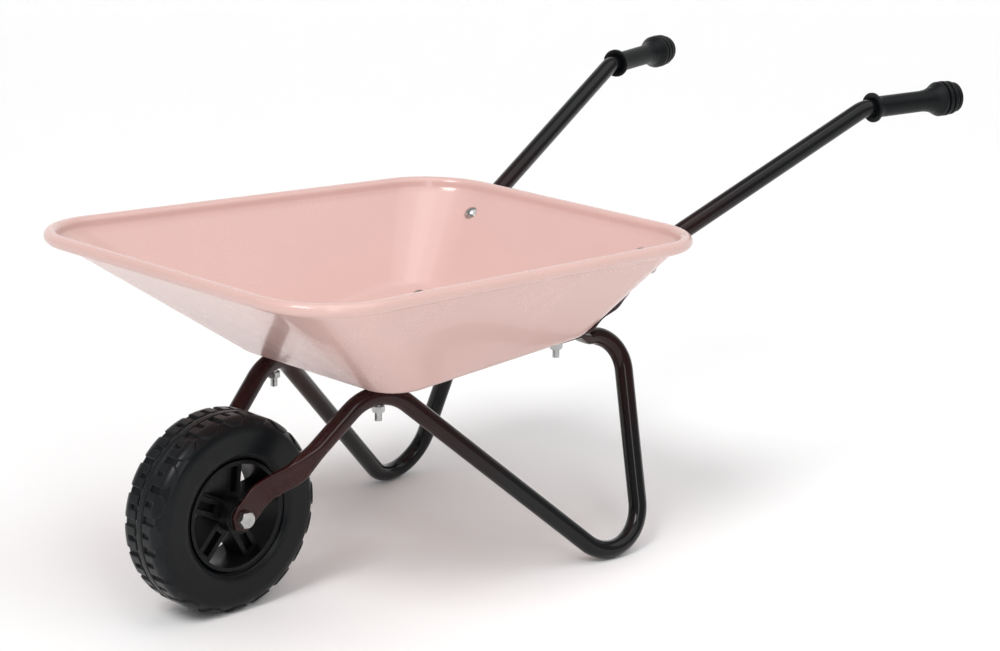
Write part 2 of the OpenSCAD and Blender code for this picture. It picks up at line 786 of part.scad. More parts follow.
module rear_floor_washers() {
    color("#c9cccd")
        for (side = [-1, 1])
            translate([rear_bolt_x, side * rear_bolt_y, rear_washer_top - washer_t])
                difference() {
                    cylinder(d = washer_d, h = washer_t);
                    translate([0, 0, -1])
                        cylinder(d = bolt_hole, h = washer_t + 2);
                }
}

module rear_floor_nuts() {
    for (side = [-1, 1])
        translate([rear_bolt_x, side * rear_bolt_y, rear_nut_top])
            plain_nut(nut_af, nut_h, bolt_d + 0.04);
}

module rear_wall_bolts() {
    for (side = [-1, 1])
        on_wall_bolt(side)
            translate([0, 0, tube_r + wall_t + 2 * seat_gap])
                domed_bolt(tube_d + wall_t + 2 * seat_gap + nut_h);
}

// Domed nuts outside the handle tubes
module rear_wall_nuts() {
    ball_r = nut_af / 2 - 0.4;
    for (side = [-1, 1])
        on_wall_bolt(side)
            translate([0, 0, -tube_r - 0.1])
                color("#d5d7d8")
                    mirror([0, 0, 1])
                        difference() {
                            union() {
                                hexagon(nut_af, nut_h - 0.5);
                                translate([0, 0, nut_h - 0.5])
                                    sphere(r = ball_r);
                            }
                            translate([0, 0, -1])
                                cylinder(d = bolt_d + 0.04, h = nut_h + 1.6);
                            translate([-10, -10, -20])
                                cube([20, 20, 20]);
                        }
}

// Moves a part from axle coordinates to the middle of the barrow
module place() {
    translate([-mid_x, 0, 0])
        children();
}

// The left-hand side is the mirror image of the right-hand side
module left() {
    mirror([0, 1, 0])
        children();
}

place() tray();
place() rolled_rim();
place() color("#1c1213") left() leg_tube();  // left_leg_tube
place() color("#1c1213") leg_tube();  // right_leg_tube
place() color("#1c1213") left() handle_tube();  // left_handle_tube
place() color("#1c1213") handle_tube();  // right_handle_tube
place() color("#1f2121") left() grip();  // left_grip
place() color("#1f2121") grip();  // right_grip
place() tyre();
place() wheel_centre();
place() left() hub_bush();  // left_hub_bush
place() hub_bush();  // right_hub_bush
place() axle_sleeve();
place() axle_bolt();
place() axle_washer();
place() axle_nut();
place() front_floor_bolts();
place() front_floor_nuts();
place() rear_floor_bolts();
place() rear_floor_washers();
place() rear_floor_nuts();
place() rear_wall_bolts();
place() rear_wall_nuts();
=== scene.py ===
"""A child's wheelbarrow: pressed tray with a rolled edge, bent tube frame, moulded wheel and grips.

The shapes are drawn in axle coordinates in millimetres (x = 0 at the axle, z = 0 on the ground,
the right-hand side at +Y) and moved onto the CAD frame by to_frame(). Metres everywhere else.
"""
import bmesh
import bpy
import json
import math
import numpy as np
from mathutils import Matrix, Vector


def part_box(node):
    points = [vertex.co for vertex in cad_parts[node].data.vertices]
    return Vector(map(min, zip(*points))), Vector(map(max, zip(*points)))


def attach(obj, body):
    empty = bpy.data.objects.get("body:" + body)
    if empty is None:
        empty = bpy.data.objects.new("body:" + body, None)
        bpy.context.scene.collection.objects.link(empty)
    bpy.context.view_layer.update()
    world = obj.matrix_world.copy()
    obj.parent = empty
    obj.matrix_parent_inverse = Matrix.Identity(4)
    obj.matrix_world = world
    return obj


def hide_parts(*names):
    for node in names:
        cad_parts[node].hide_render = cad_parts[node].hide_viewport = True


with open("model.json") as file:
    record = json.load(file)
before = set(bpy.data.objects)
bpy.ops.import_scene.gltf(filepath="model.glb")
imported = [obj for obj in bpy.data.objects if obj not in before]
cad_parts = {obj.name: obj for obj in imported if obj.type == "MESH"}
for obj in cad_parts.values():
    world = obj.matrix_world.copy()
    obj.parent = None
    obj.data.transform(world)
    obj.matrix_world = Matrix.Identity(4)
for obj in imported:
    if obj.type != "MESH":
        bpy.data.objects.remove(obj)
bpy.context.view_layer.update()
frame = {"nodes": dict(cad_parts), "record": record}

axle = frame["record"]["behaviour"]["joints"][0]["pos_m"]
AXLE_X = axle[0] * 1000
AXLE_Z = axle[2] * 1000
SIDES = {1: "right", -1: "left"}


# ---------------------------------------------------------------- small tools
def arr(*v):
    return np.array(v, float)


def unit(v):
    v = np.asarray(v, float)
    return v / np.linalg.norm(v, axis=-1, keepdims=True)


def to_frame(p):
    """Axle coordinates in millimetres to the row frame in metres."""
    q = np.array(p, float).reshape(-1, 3).copy()
    q[:, 0] += AXLE_X
    return q / 1000


def mesh_piece(name, points, faces, body, material, replaces):
    """A piece from millimetre points and faces (a list of index arrays of 3 or 4 columns)."""
    me = bpy.data.meshes.new(name)
    corners = [face for block in faces for face in block.tolist()]
    me.from_pydata(to_frame(points).tolist(), [], corners)
    me.validate()
    bm = bmesh.new()
    bm.from_mesh(me)
    bmesh.ops.recalc_face_normals(bm, faces=bm.faces)
    bm.to_mesh(me)
    bm.free()
    me.polygons.foreach_set("use_smooth", np.ones(len(me.polygons), bool))
    ob = bpy.data.objects.new(name, me)
    bpy.context.scene.collection.objects.link(ob)
    me.materials.append(material)
    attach(ob, body)
    for node in replaces:
        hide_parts(node)
    return ob


def grid_faces(rows, cols, close_rows=False, close_cols=False, flip=False):
    """Quads of a rows x cols grid of points stored row by row, wrapped where asked."""
    i = np.arange(rows if close_rows else rows - 1)
    j = np.arange(cols if close_cols else cols - 1)
    i, j = np.meshgrid(i, j, indexing="ij")
    i2, j2 = (i + 1) % rows, (j + 1) % cols
    q = np.stack([i * cols + j, i * cols + j2, i2 * cols + j2, i2 * cols + j], -1).reshape(-1, 4)
    return q[:, ::-1] if flip else q


def fan(centre, ring, flip=False):
    """Triangles from one point to a closed ring of points."""
    ring = np.asarray(ring)
    t = np.stack([np.full(len(ring), centre), ring, np.roll(ring, -1)], -1)
    return t[:, ::-1] if flip else t


def add_point_value(ob, name, values):
    """Stores one number a point for the materials, such as how far the tread is rubbed."""
    a = ob.data.attributes.new(name, "FLOAT", "POINT")
    a.data.foreach_set("value", np.asarray(values, np.float32))


# ---------------------------------------------------------------- shader wrapper
class Shader:
    """Builds a material's nodes; n() makes any node and wraps its output for arithmetic."""

    def __init__(self, name):
        self.mat = bpy.data.materials.new(name)
        self.mat.use_nodes = True
        self.tree = self.mat.node_tree
        self.tree.nodes.clear()
        self.out = self.n("ShaderNodeOutputMaterial").node
        self.bsdf = self.n("ShaderNodeBsdfPrincipled").node
        self.tree.links.new(self.bsdf.outputs[0], self.out.inputs[0])

    def n(self, kind, settings=None, inputs=None, out=0):
        """A node of this kind with its settings made and inputs plugged, as one wrapped output."""
        node = self.tree.nodes.new(kind)
        for k, v in (settings or {}).items():
            setattr(node, k, v)
        for k, v in (inputs or {}).items():
            self.plug(node.inputs[k], v)
        return Val(self, node, node.outputs[out] if len(node.outputs) else None)

    def plug(self, sock, value):
        """Links a wrapped value to a socket, or sets the socket to a plain one."""
        if isinstance(value, Val):
            self.tree.links.new(value.sock, sock)
        else:
            sock.default_value = value

    def set(self, **values):
        for k, v in values.items():
            self.plug(self.bsdf.inputs[k.replace("_", " ")], v)

    def coords(self):
        return self.n("ShaderNodeTexCoord", out=3)

    def attribute(self, name):
        return self.n("ShaderNodeAttribute", {"attribute_name": name}, out=2)

    def noise(self, vector, scale, detail=4.0, rough=0.55):
        return self.n("ShaderNodeTexNoise", None,
                      {"Vector": vector, "Scale": scale, "Detail": detail, "Roughness": rough})

    def mix(self, fac, a, b):
        """Colour mix: a where fac is 0, b where it is 1. Plain colours are three numbers."""
        v = self.n("ShaderNodeMix", {"data_type": "RGBA"}, out=2)
        for i, x in ((0, fac), (6, a), (7, b)):
            self.plug(v.node.inputs[i], (*x, 1) if isinstance(x, tuple) else x)
        return v

    def bump(self, height, strength, distance):
        return self.n("ShaderNodeBump", None,
                      {"Height": height, "Strength": strength, "Distance": distance})


class Val:
    """One output socket, with arithmetic."""

    def __init__(self, sh, node, sock):
        self.sh, self.node, self.sock = sh, node, sock

    def math(self, op, other):
        return self.sh.n("ShaderNodeMath", {"operation": op}, {0: self, 1: other})

    def __add__(self, o):
        return self.math("ADD", o)

    __radd__ = __add__

    def __mul__(self, o):
        return self.math("MULTIPLY", o)

    __rmul__ = __mul__

    def __sub__(self, o):
        return self.math("SUBTRACT", o)

    def __rsub__(self, o):
        return (self * -1.0) + o

    def range(self, a, b, lo=0.0, hi=1.0):
        """Remaps a..b to lo..hi, clamped."""
        return self.sh.n("ShaderNodeMapRange", {"clamp": True},
                         {0: self, 1: a, 2: b, 3: lo, 4: hi})


def edge_wear(sh, radius=0.0012, samples=4):
    """About 1 on a sharp edge and 0 on flat faces: the rounded normal against the true one."""
    soft = sh.n("ShaderNodeBevel", {"samples": samples}, {"Radius": radius})
    true = sh.n("ShaderNodeNewGeometry", out=1)
    dot = sh.n("ShaderNodeVectorMath", {"operation": "DOT_PRODUCT"}, {0: soft, 1: true}, out=1)
    return (1.0 - dot).range(0.004, 0.12)


# ---------------------------------------------------------------- materials
def tray_paint():
    """Glossy pale pink enamel, a little uneven in shade, with a faint orange peel and fine specks."""
    sh = Shader("tray_enamel")
    c = sh.coords()
    broad = sh.noise(c, 6.0, 3.0, 0.5)
    fine = sh.noise(c, 900.0, 2.0, 0.6)
    peel = sh.noise(c, 260.0, 2.0, 0.5)
    base = sh.mix(broad.range(0.3, 0.7), (0.72, 0.475, 0.435), (0.755, 0.51, 0.47))
    specks = sh.noise(c, 480.0, 1.0, 0.5).range(0.70, 0.78)
    base = sh.mix(specks * 0.12, base, (0.5, 0.33, 0.30))
    sh.set(Base_Color=base, Roughness=(broad * 0.10 + fine * 0.04) + 0.20, Metallic=0.0,
           IOR=1.45, Coat_Weight=0.35, Coat_Roughness=0.025,
           Normal=sh.bump(peel * 0.5 + broad * 0.4, 0.008, 0.002))
    return sh.mat


def near(sh, coords, centre, reach, soft=0.45):
    """1 inside an ellipsoid about centre, fading to 0 by 1 + soft of its reach."""
    moved = sh.n("ShaderNodeVectorMath", {"operation": "SUBTRACT"}, {0: coords, 1: centre})
    scaled = sh.n("ShaderNodeVectorMath", {"operation": "DIVIDE"}, {0: moved, 1: reach})
    length = sh.n("ShaderNodeVectorMath", {"operation": "LENGTH"}, {0: scaled}, out=1)
    return length.range(1.0 - soft, 1.0 + soft, 1.0, 0.0)


def frame_paint():
    """Near-black enamel with orange peel and worn edges, and a painted oxblood-red reflection of the
    pink tray about tray and fork.
    """
    sh = Shader("frame_enamel")
    c = sh.coords()
    broad = sh.noise(c, 9.0, 3.0, 0.55)
    peel = sh.noise(c, 420.0, 2.0, 0.5)
    # painted reflection: the black enamel turns oxblood red within these fields near the tray and the
    # fork, standing for the pink tray's light on the tubes
    tray_painted_reflection = near(sh, c, (-0.10, 0.0, 0.215), (0.30, 0.22, 0.10))
    fork_painted_reflection = near(sh, c, (axle[0] + 0.05, 0.0, 0.125), (0.13, 0.12, 0.075))
    painted_reflection = tray_painted_reflection.math("MAXIMUM", fork_painted_reflection)
    dark = sh.mix(broad.range(0.35, 0.65), (0.0040, 0.0044, 0.0050), (0.0062, 0.0066, 0.0072))
    reflected_red = sh.mix(broad.range(0.35, 0.65), (0.018, 0.0018, 0.0016), (0.030, 0.0030, 0.0027))
    base = sh.mix(painted_reflection, dark, reflected_red)
    scuff = sh.noise(c, 160.0, 5.0, 0.7).range(0.64, 0.74)
    base = sh.mix(scuff * 0.14, base, (0.05, 0.04, 0.038))
    base = sh.mix(edge_wear(sh) * 0.25, base, (0.10, 0.08, 0.078))
    sh.set(Base_Color=base, Roughness=(broad * 0.08 + scuff * 0.2) + 0.10, Metallic=0.0,
           IOR=1.45, Specular_IOR_Level=0.34, Normal=sh.bump(peel, 0.06, 0.0005))
    return sh.mat


def tyre_plastic():
    """Dull blue-black moulded plastic, finely grained, paler where the tread rubs."""
    sh = Shader("tyre_moulding")
    c = sh.coords()
    broad = sh.noise(c, 14.0, 4.0, 0.6)
    grain = sh.noise(c, 1500.0, 2.0, 0.6)
    base = sh.mix(broad.range(0.3, 0.7), (0.0016, 0.0024, 0.0032), (0.0036, 0.0048, 0.0058))
    worn = sh.attribute("worn") * broad.range(0.25, 0.65)
    base = sh.mix(worn * 0.4, base, (0.016, 0.018, 0.020))
    sh.set(Base_Color=base, Roughness=(broad * 0.14 + grain * 0.06) + 0.20,
           IOR=1.45, Specular_IOR_Level=0.24, Normal=sh.bump(grain, 0.10, 0.0003))
    return sh.mat


def dark_plastic(name, low, high, rough, grain_scale=1200.0):
    """Grained black plastic between two colours, a little paler on its edges."""
    sh = Shader(name)
    c = sh.coords()
    broad = sh.noise(c, 18.0, 4.0, 0.6)
    grain = sh.noise(c, grain_scale, 2.0, 0.6)
    base = sh.mix(broad.range(0.3, 0.7), low, high)
    base = sh.mix(edge_wear(sh, 0.0008) * 0.3, base, tuple(v * 3 + 0.008 for v in high))
    sh.set(Base_Color=base, Roughness=(broad * 0.16 + grain * 0.08) + rough,
           IOR=1.45, Specular_IOR_Level=0.20, Normal=sh.bump(grain, 0.12, 0.0004))
    return sh.mat


def zinc():
    """Bright zinc plate with a faint mottled bloom and brighter rubbed edges."""
    sh = Shader("zinc_plate")
    c = sh.coords()
    mottle = sh.noise(c, 260.0, 5.0, 0.65)
    fine = sh.noise(c, 1800.0, 2.0, 0.6)
    base = sh.mix(mottle.range(0.35, 0.65), (0.36, 0.365, 0.36), (0.52, 0.525, 0.52))
    base = sh.mix(edge_wear(sh, 0.0006) * 0.6, base, (0.72, 0.72, 0.71))
    sh.set(Base_Color=base, Metallic=1.0, Roughness=(mottle * 0.22 + fine * 0.08) + 0.16,
           Normal=sh.bump(fine, 0.06, 0.0003))
    return sh.mat


M_TRAY = tray_paint()
M_FRAME = frame_paint()
M_TYRE = tyre_plastic()
M_WHEEL = dark_plastic("wheel_moulding", (0.0028, 0.0030, 0.0034), (0.0052, 0.0055, 0.0060), 0.26)
M_BUSH = dark_plastic("bush_moulding", (0.008, 0.008, 0.009), (0.014, 0.014, 0.015), 0.38)
M_GRIP = dark_plastic("grip_moulding", (0.0034, 0.0042, 0.0048), (0.0062, 0.0072, 0.0080), 0.30,
                      grain_scale=900.0)
M_ZINC = zinc()

SLOT_MATERIAL = {"tray_paint": M_TRAY, "frame_paint": M_FRAME, "tyre": M_TYRE,
                 "wheel_plastic": M_WHEEL, "bush_plastic": M_BUSH, "grip_plastic": M_GRIP,
                 "zinc_steel": M_ZINC}
for part in frame["record"]["subparts"]:
    node = frame["nodes"][part["node"]]
    node.data.materials.clear()
    node.data.materials.append(SLOT_MATERIAL[part["material_slot"]])


# ---------------------------------------------------------------- tray
def place_of(node):
    """A CAD node's box as two corners in axle coordinates."""
    lo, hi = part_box(node)
    return (np.array(lo) * 1000 - arr(AXLE_X, 0, 0), np.array(hi) * 1000 - arr(AXLE_X, 0, 0))


RIM_LO, RIM_HI = place_of("rolled_rim")
BEAD_R = 5.5
RIM_X0, RIM_X1 = RIM_LO[0] + BEAD_R, RIM_HI[0] - BEAD_R
RIM_Z0, RIM_Z1 = RIM_HI[2] - BEAD_R, RIM_LO[2] + BEAD_R
RIM_W0 = 188.0
RIM_W1 = 170.5
RIM_CORNER = 62.0
FLOOR_X0, FLOOR_X1 = 84.0, 336.0
FLOOR_Z0, FLOOR_Z1 = 177.5, 194.5
FLOOR_W0, FLOOR_W1 = 115.0, 126.0
FLOOR_CORNER = 44.0
FILLET = 20.0
SHEET = 1.2


def outline(span, w0, w1, corner, per_corner, per_side):
    """A rounded trapezoid as points and outward normals, anticlockwise from its rear left corner.

    Each corner is an arc of `corner` radius tangent to both sides, sampled `per_corner` times; each
    straight side is sampled `per_side` times between the arcs on either side of it.
    """
    v = [arr(span, -w1), arr(span, w1), arr(0, w0), arr(0, -w0)]
    pts, nrm = [], []
    n = len(v)
    arcs = []
    for i in range(n):
        a, p, b = v[i - 1], v[i], v[(i + 1) % n]
        ua, ub = unit(a - p), unit(b - p)
        half = math.acos(float(ua @ ub)) / 2
        c = p + unit(ua + ub) * corner / math.sin(half)
        reach = corner / math.tan(half)
        na, nb = p + ua * reach - c, p + ub * reach - c
        t0, t1 = math.atan2(na[1], na[0]), math.atan2(nb[1], nb[0])
        t1 = t0 + (t1 - t0 + math.pi) % (2 * math.pi) - math.pi
        t = np.linspace(t0, t1, per_corner)
        d = np.stack([np.cos(t), np.sin(t)], -1)
        arcs.append((c + d * corner, d))
    for i in range(n):
        p, d = arcs[i]
        q, e = arcs[(i + 1) % n]
        pts.append(p)
        nrm.append(d)
        s = np.linspace(0, 1, per_side + 2)[1:-1, None]
        pts.append(p[-1] + (q[0] - p[-1]) * s)
        nrm.append(unit(d[-1] + (e[0] - d[-1]) * s))
    return np.concatenate(pts), np.concatenate(nrm)


def on_plane(p2, x0, z0, tilt, up=0.0):
    """Points of a plane that leans by tilt about Y, lifted square to it by up."""
    c, s = math.cos(tilt), math.sin(tilt)
    up = np.broadcast_to(up, p2[..., 0].shape)
    x = p2[..., 0]
    return np.stack([x0 + x * c - up * s, p2[..., 1], z0 + x * s + up * c], -1)


def build_tray():
    """The pan as one sheet: floor rings, a fillet, the wall, and a curl round the rim.

    For each outline direction u the section runs: floor centre to floor ring; fillet
    P(t) = C(u) + f (n sin t - k cos t) for t from 0 to the wall's slope; straight wall to the
    rim; curl B(u) + r (n cos a + k sin a) with a from 203 down to -128 degrees.
    """
    per_corner, per_side = 30, 26
    wall_in, wall_drop = 5.72, 3.6      # the wall's top, inwards of the bead's centre and below it
    rim_tilt = math.atan2(RIM_Z1 - RIM_Z0, RIM_X1 - RIM_X0)
    floor_tilt = math.atan2(FLOOR_Z1 - FLOOR_Z0, FLOOR_X1 - FLOOR_X0)
    rim_span = (RIM_X1 - RIM_X0) / math.cos(rim_tilt)
    floor_span = (FLOOR_X1 - FLOOR_X0) / math.cos(floor_tilt)
    mid = SHEET / 2
    curl_r = BEAD_R - mid
    f = FILLET - mid
    rim2, rim_n = outline(rim_span, RIM_W0, RIM_W1, RIM_CORNER, per_corner, per_side)
    floor2, floor_n = outline(floor_span, FLOOR_W0, FLOOR_W1, FLOOR_CORNER, per_corner, per_side)
    nr = on_plane(rim_n, 0, 0, rim_tilt)
    kr = arr(-math.sin(rim_tilt), 0, math.cos(rim_tilt))
    nf = on_plane(floor_n, 0, 0, floor_tilt)
    kf = arr(-math.sin(floor_tilt), 0, math.cos(floor_tilt))
    bead = on_plane(rim2, RIM_X0, RIM_Z0, rim_tilt)
    top = bead - nr * wall_in - kr * wall_drop
    centre = on_plane(floor2 - floor_n * FILLET, FLOOR_X0, FLOOR_Z0, floor_tilt, FILLET)
    to = top - centre
    a, b = (to * nf).sum(-1), (to * kf).sum(-1)
    slope = np.arctan2(b, a) + np.arcsin(np.clip(f / np.hypot(a, b), -1, 1))
    hub = centre.mean(0) - kf * f
    ring0 = centre - kf * f
    rows = [hub + (ring0 - hub) * s for s in (0.15, 0.3, 0.45, 0.6, 0.72, 0.82, 0.9, 0.96)]
    for s in np.linspace(0, 1, 13):
        t = slope * s
        rows.append(centre + f * (nf * np.sin(t)[:, None] - kf * np.cos(t)[:, None]))
    foot = rows[-1]
    foot_row = len(rows) - 1
    rows += [foot + (top - foot) * s for s in np.linspace(0, 1, 15)[1:-1]]
    rows.append(top)
    wall_rows = slice(foot_row, len(rows) + 1)
    lead_in = [(203, curl_r + 0.9), (190, curl_r + 0.25)]
    for ang, r in lead_in + [(x, curl_r) for x in np.linspace(178, -128, 26)]:
        t = math.radians(ang)
        rows.append(bead + r * (nr * math.cos(t) + kr * math.sin(t)))
    pts = np.stack(rows)
    # a slight pinch in the rear corner on one side, where the press gathered the sheet: a groove
    # of pinch_deep, its width pinch_wide, that dies away within pinch_long of the rim
    pinch_deep, pinch_wide, pinch_long = 0.7, 5.0, 55
    pinch_at = arr(RIM_X1 - 22, -RIM_W1 + 20, RIM_Z1)
    wall = pts[wall_rows]
    d = np.linalg.norm(wall - pinch_at, axis=-1)
    off_line = wall[..., 0] + wall[..., 1] - pinch_at[0] - pinch_at[1]
    groove = np.exp(-(off_line / pinch_wide) ** 2) * np.exp(-(d / pinch_long) ** 2)
    pts[wall_rows] = wall - nf[None] * (pinch_deep * groove)[..., None]
    count = pts.shape[1]
    all_pts = np.concatenate([pts.reshape(-1, 3), hub[None]])
    faces = [grid_faces(len(rows), count, close_cols=True, flip=True),
             fan(len(all_pts) - 1, np.arange(count), flip=True)]
    ob = mesh_piece("tray_shell", all_pts, faces, "frame", M_TRAY,
                    replaces=("tray", "rolled_rim"))
    sheet = ob.modifiers.new("sheet", "SOLIDIFY")
    sheet.thickness = SHEET / 1000
    sheet.offset = 0.0
    sheet.use_even_offset = False


build_tray()


# ---------------------------------------------------------------- tubes
def fillet_path(corners, radii, step=2.0):
    """A smooth path: each inner corner becomes an arc of its radius, tangent to both runs."""
    v = [np.asarray(c, float) for c in corners]
    out = [v[0][None]]
    here = v[0]
    for i in range(1, len(v) - 1):
        ua, ub = unit(v[i - 1] - v[i]), unit(v[i + 1] - v[i])
        half = math.acos(float(np.clip(ua @ ub, -1, 1))) / 2
        r = radii[i - 1]
        c = v[i] + unit(ua + ub) * r / math.sin(half)
        p, q = v[i] + ua * r / math.tan(half), v[i] + ub * r / math.tan(half)
        n = max(2, int(np.linalg.norm(p - here) / (step * 3)))
        out.append(here + (p - here) * np.linspace(0, 1, n)[1:, None])
        e1 = unit(p - c)
        e2 = unit(-ua)
        ang = math.pi - 2 * half
        t = np.linspace(0, ang, max(6, int(r * ang / step)))[1:, None]
        out.append(c + r * (e1 * np.cos(t) + e2 * np.sin(t)))
        here = q
    n = max(2, int(np.linalg.norm(v[-1] - here) / (step * 3)))
    out.append(here + (v[-1] - here) * np.linspace(0, 1, n)[1:, None])
    return np.concatenate(out)


def smooth_step(x, a, b):
    """0 up to a, 1 from b, and 3 t^2 - 2 t^3 between."""
    t = np.clip((x - a) / (b - a), 0, 1)
    return t * t * (3 - 2 * t)


def sweep(path, wide, half_w, half_t, power, around=56):
    """Points of a tube along a path.

    At each point the section is |x/a|^p + |y/b|^p = 1, with x along the wide direction made
    square to the path, a = half_w, b = half_t and p = power. Rows are path points.
    """
    tan = unit(np.gradient(path, axis=0))
    w = wide - tan * (wide * tan).sum(-1, keepdims=True)
    w = unit(w)
    t = np.cross(tan, w)
    u = np.linspace(0, 2 * np.pi, around, endpoint=False)
    cu, su = np.cos(u), np.sin(u)
    e = 2 / power[:, None]
    x = half_w[:, None] * np.sign(cu) * np.abs(cu) ** e
    y = half_t[:, None] * np.sign(su) * np.abs(su) ** e
    return path[:, None] + w[:, None] * x[..., None] + t[:, None] * y[..., None]


def tube_piece(side, kind, path, wide, half_w, half_t, power, crease=None):
    """A tube closed at both ends. path and wide are the right-hand ones, mirrored for the left."""
    if side < 0:
        path, wide = mirrored(path), mirrored(wide)
    pts = sweep(path, wide, half_w, half_t, power)
    if crease is not None:
        pts = crease(pts, path)
    rows, cols = pts.shape[:2]
    flat = pts.reshape(-1, 3)
    first = np.arange(cols)
    faces = [grid_faces(rows, cols, close_cols=True, flip=True),
             fan(len(flat), first),
             fan(len(flat) + 1, first + (rows - 1) * cols, flip=True)]
    mesh_piece(f"{kind}_tube_{SIDES[side]}", np.concatenate([flat, path[:1], path[-1:]]), faces,
               "frame", M_FRAME, replaces=(f"{SIDES[side]}_{kind}_tube",))


def mirrored(p):
    """The same points on the other side of the barrow."""
    q = np.array(p, float).copy()
    q[..., 1] *= -1
    return q


def lengths(path):
    """Distance along a path to each of its points."""
    return np.concatenate([[0], np.cumsum(np.linalg.norm(np.diff(path, axis=0), axis=1))])


def rounded_end(s, full, tip):
    """Half width near a round tip: full beyond `tip`, falling on a circle to nothing at s = 0."""
    inside = np.clip(tip - s, 0, tip)
    return full * np.sqrt(np.clip(1 - (inside / tip) ** 2, 0.0004, 1))


TUBE_R = 8.0
FLAT_T = 3.0
FLAT_W = 23.0
END_R = FLAT_W / 2                      # pressed ends are rounded to half their width
JOINT_X, JOINT_Y, JOINT_Z = 298.5, 86.0, 187.16     # where leg and handle meet the rear floor bolt
FLOOR_TILT = math.radians(3.86)
WALL_TILT = math.radians(45.5)
ARM_TILT = math.radians(42.18)
SPLAY = 0.2206                          # how far a handle leans outwards for each unit of x
GRIP_X, GRIP_Z = 619.5, 356.6           # the bend in front of the grip
GRIP_RISE = math.tan(math.radians(0.7))


def handle_y(x):
    return JOINT_Y + (x - JOINT_X) * SPLAY


def pressed(flat):
    """Half width, half thickness and power of a section, from 0 (round) to 1 (pressed flat)."""
    return (TUBE_R + (END_R - TUBE_R) * flat, TUBE_R + (FLAT_T / 2 - TUBE_R) * flat,
            2 + 5 * flat ** 1.5)


def leg_path():
    """Centre line of the right leg, blade to flat end, and the direction of the flat end."""
    blade_y = 27.6 + FLAT_T / 2
    corner_s, corner_y, lean = 151.13, 66.5, 0.162
    arm = lambda s, y: arr(s * math.cos(ARM_TILT), y, AXLE_Z + s * math.sin(ARM_TILT))
    corner = arr(112, corner_y, 183.97)
    foot = arr(342, 158, -32.9)
    top = arr(373, 90.5, 185)
    bolt = arr(JOINT_X, JOINT_Y, JOINT_Z)
    d = unit(arr(top[0] - bolt[0], top[1] - bolt[1], 0))
    d = unit(d + arr(0, 0, math.tan(FLOOR_TILT)))
    corners = [arm(-END_R, blade_y), arm(26, blade_y), arm(52, corner_y - (corner_s - 52) * lean),
               corner, foot, top, top - d * 41.5, bolt + d * 20.0, bolt - d * END_R]
    radii = [22, 22, 38, 38, 32, 10, 10]
    return fillet_path(corners, radii, 1.6), d


def build_leg(side):
    """Flat at both ends, round between, a little squashed where the bend stands on the ground."""
    path, d = leg_path()
    s = lengths(path)
    total = s[-1]
    blade_to, round_from = 58, 100          # along the tube from the blade's tip
    round_to, flat_from = 64, 26            # back from the flat end's tip
    flat = np.maximum(1 - smooth_step(s, blade_to, round_from),
                      smooth_step(s, total - round_to, total - flat_from))
    ground_at, ground_reach = arr(336, 153, 8), 26
    near_foot = np.exp(-(np.linalg.norm(path - ground_at, axis=-1) / ground_reach) ** 2)
    half_w, half_t, power = pressed(flat)
    half_w, half_t = half_w + near_foot * 0.5, half_t - near_foot * 0.8
    half_w = rounded_end(np.minimum(s, total - s), half_w, END_R)
    # the wide direction on the arm, across the foot's bend and under the floor, without a twist
    w_front = arr(math.sin(ARM_TILT), 0, -math.cos(ARM_TILT))
    w_foot = unit(np.cross(arr(-0.73, -0.28, 0.68), arr(0.12, -0.29, 0.95)))
    w_back = unit(np.cross(d, arr(0, 0, 1)))
    w_foot = w_foot * (1 if w_foot @ w_front > 0 else -1)
    w_back = w_back * (1 if w_back @ w_foot > 0 else -1)
    k1 = smooth_step(s, 130, 300)[:, None]
    k2 = smooth_step(s, total - 180, total - 60)[:, None]
    wide = w_front * (1 - k1) + w_foot * k1 * (1 - k2) + w_back * k2
    wide = np.where(k2 > 0.999, w_back, wide)

    def crease(pts, centre):
        """A pressed line along each face of the blade's joggle, fading into the round tube."""
        depth = 0.5 * np.clip(1 - np.abs(s - 62) / 36, 0, 1)
        u = np.linspace(0, 2 * np.pi, pts.shape[1], endpoint=False)
        line = np.exp(-(np.cos(u) / 0.10) ** 2)
        inward = centre[:, None] - pts
        n = np.linalg.norm(inward, axis=-1, keepdims=True)
        return pts + inward / np.maximum(n, 1e-6) * (depth[:, None] * line[None])[..., None]

    tube_piece(side, "leg", path, wide, half_w, half_t, power, crease)


def handle_path():
    """Centre line of the right handle tube, from under the floor to inside the grip."""
    pt = lambda x, z: arr(x, handle_y(x), z)
    under = 1.72                        # the flat end's middle, below the tray's floor
    start_x = JOINT_X - 11
    bend = arr(314.7, 213.1)            # middle of the tray's fillet, seen from the side
    wall = arr(math.cos(WALL_TILT), math.sin(WALL_TILT))
    out = arr(math.sin(WALL_TILT), -math.cos(WALL_TILT))
    foot = bend + out * FILLET
    hug = [pt(*(bend + arr(math.sin(a), -math.cos(a)) * (FILLET + 1.7)))
           for a in np.linspace(FLOOR_TILT, WALL_TILT, 9)]
    start = pt(start_x, FLOOR_Z0 + (start_x - FLOOR_X0) * math.tan(FLOOR_TILT) - under)
    flat_stop = foot + wall * 8 + out * 1.7
    round_at = foot + wall * 26 + out * 8.2
    grip = pt(GRIP_X, GRIP_Z)
    axis = unit(arr(1, SPLAY, GRIP_RISE))
    corners = [start, *hug, pt(*flat_stop), pt(*round_at), pt(391.9, 251.0), grip, grip + axis * 88]
    radii = [3] * 9 + [26, 26, 25, 35]
    return fillet_path(corners, radii, 1.4)


def build_handle(side):
    """Flat under the floor and round the tray's corner, then round up to the grip."""
    path = handle_path()
    s = lengths(path)
    at = lambda x: float(np.interp(x, path[:, 0], s))
    flat_to_x, round_from_x = 335, 364
    half_w, half_t, power = pressed(1 - smooth_step(s, at(flat_to_x), at(round_from_x)))
    wide = np.tile(arr(-0.02, 1, 0), (len(path), 1))
    tube_piece(side, "handle", path, wide, rounded_end(s, half_w, END_R), half_t, power)


for side in (1, -1):
    build_leg(side)
    build_handle(side)


